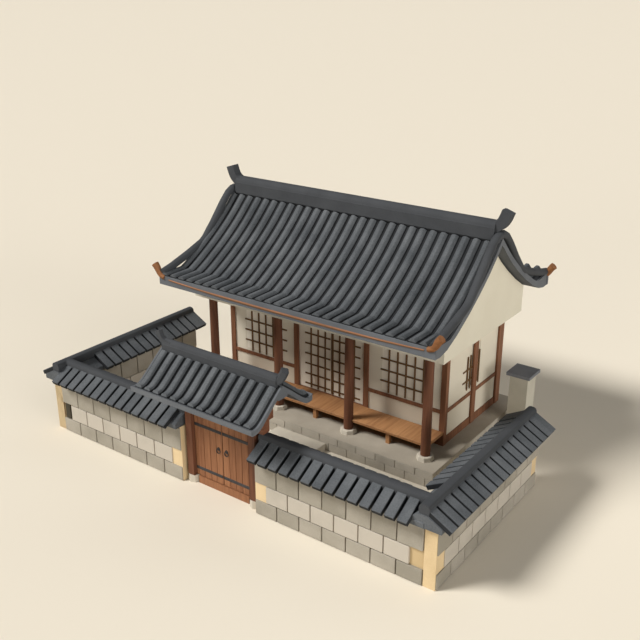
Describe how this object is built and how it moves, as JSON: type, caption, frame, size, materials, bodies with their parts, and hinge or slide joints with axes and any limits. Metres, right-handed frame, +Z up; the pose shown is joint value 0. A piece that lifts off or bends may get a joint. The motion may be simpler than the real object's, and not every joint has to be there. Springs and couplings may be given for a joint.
{
  "type": "hanok house",
  "caption": "Korean hanok house with a curved tiled gable roof, porch on a stone platform, and a walled courtyard with a roofed timber gate.",
  "frame": {"origin": "centre of the footprint at ground level", "axes": "+X to the right seen from the gate, +Y from the gate to the back of the house, +Z up"},
  "size_m": [11.766, 9.316, 6.16],
  "materials": {
    "stone": "matt",
    "pale_stone": "matt",
    "timber": "satin",
    "orange_wood": "satin",
    "deck_wood": "satin",
    "plaster": "matt",
    "paper": "matt",
    "tile": "matt"
  },
  "bodies": {
    "house": {"platform": "stone", "step_stone": "pale_stone", "left_yard_wall": "pale_stone", "right_yard_wall": "pale_stone", "gate_stone_left": "pale_stone", "gate_stone_right": "pale_stone", "front_column_1": "timber", "front_column_2": "timber", "front_column_3": "timber", "front_column_4": "timber", "front_frame": "timber", "rear_frame": "timber", "left_frame": "timber", "right_frame": "timber", "gate_post_left": "timber", "gate_post_right": "timber", "gate_lintel": "timber", "gate_roof_beam": "timber", "porch_deck": "deck_wood", "room_floor": "deck_wood", "eave_board_front": "orange_wood", "eave_board_rear": "orange_wood", "gate_threshold": "orange_wood", "front_left_wall": "plaster", "front_right_wall": "plaster", "left_wall": "plaster", "right_wall": "plaster", "rear_wall": "plaster", "roof_base": "plaster", "left_gable": "plaster", "right_gable": "plaster", "chimney_shaft": "plaster", "front_left_window": "paper", "front_right_window": "paper", "left_window": "paper", "right_window": "paper", "front_roof": "tile", "rear_roof": "tile", "main_ridge": "tile", "rake_front_left": "tile", "rake_front_right": "tile", "rake_rear_left": "tile", "rake_rear_right": "tile", "chimney_cap": "tile", "left_wall_cap": "tile", "right_wall_cap": "tile", "gate_roof": "tile", "gate_ridge": "tile"},
    "house_door_left_body": {"house_door_left": "paper"},
    "house_door_right_body": {"house_door_right": "paper"},
    "gate_leaf_left_body": {"gate_leaf_left": "orange_wood"},
    "gate_leaf_right_body": {"gate_leaf_right": "orange_wood"}
  },
  "joints": [
    {"name": "house_door_left_hinge", "type": "hinge", "parent": "house", "child": "house_door_left_body", "pos_m": [-1.019, 0.522, 1.78], "axis": [0, 0, -1], "range_deg": [0, 80]},
    {"name": "house_door_right_hinge", "type": "hinge", "parent": "house", "child": "house_door_right_body", "pos_m": [1.019, 0.522, 1.78], "axis": [0, 0, 1], "range_deg": [0, 80]},
    {"name": "gate_leaf_left_hinge", "type": "hinge", "parent": "house", "child": "gate_leaf_left_body", "pos_m": [-0.84, -3.613, 1.07], "axis": [0, 0, 1], "range_deg": [0, 90]},
    {"name": "gate_leaf_right_hinge", "type": "hinge", "parent": "house", "child": "gate_leaf_right_body", "pos_m": [0.84, -3.613, 1.07], "axis": [0, 0, -1], "range_deg": [0, 90]}
  ]
}
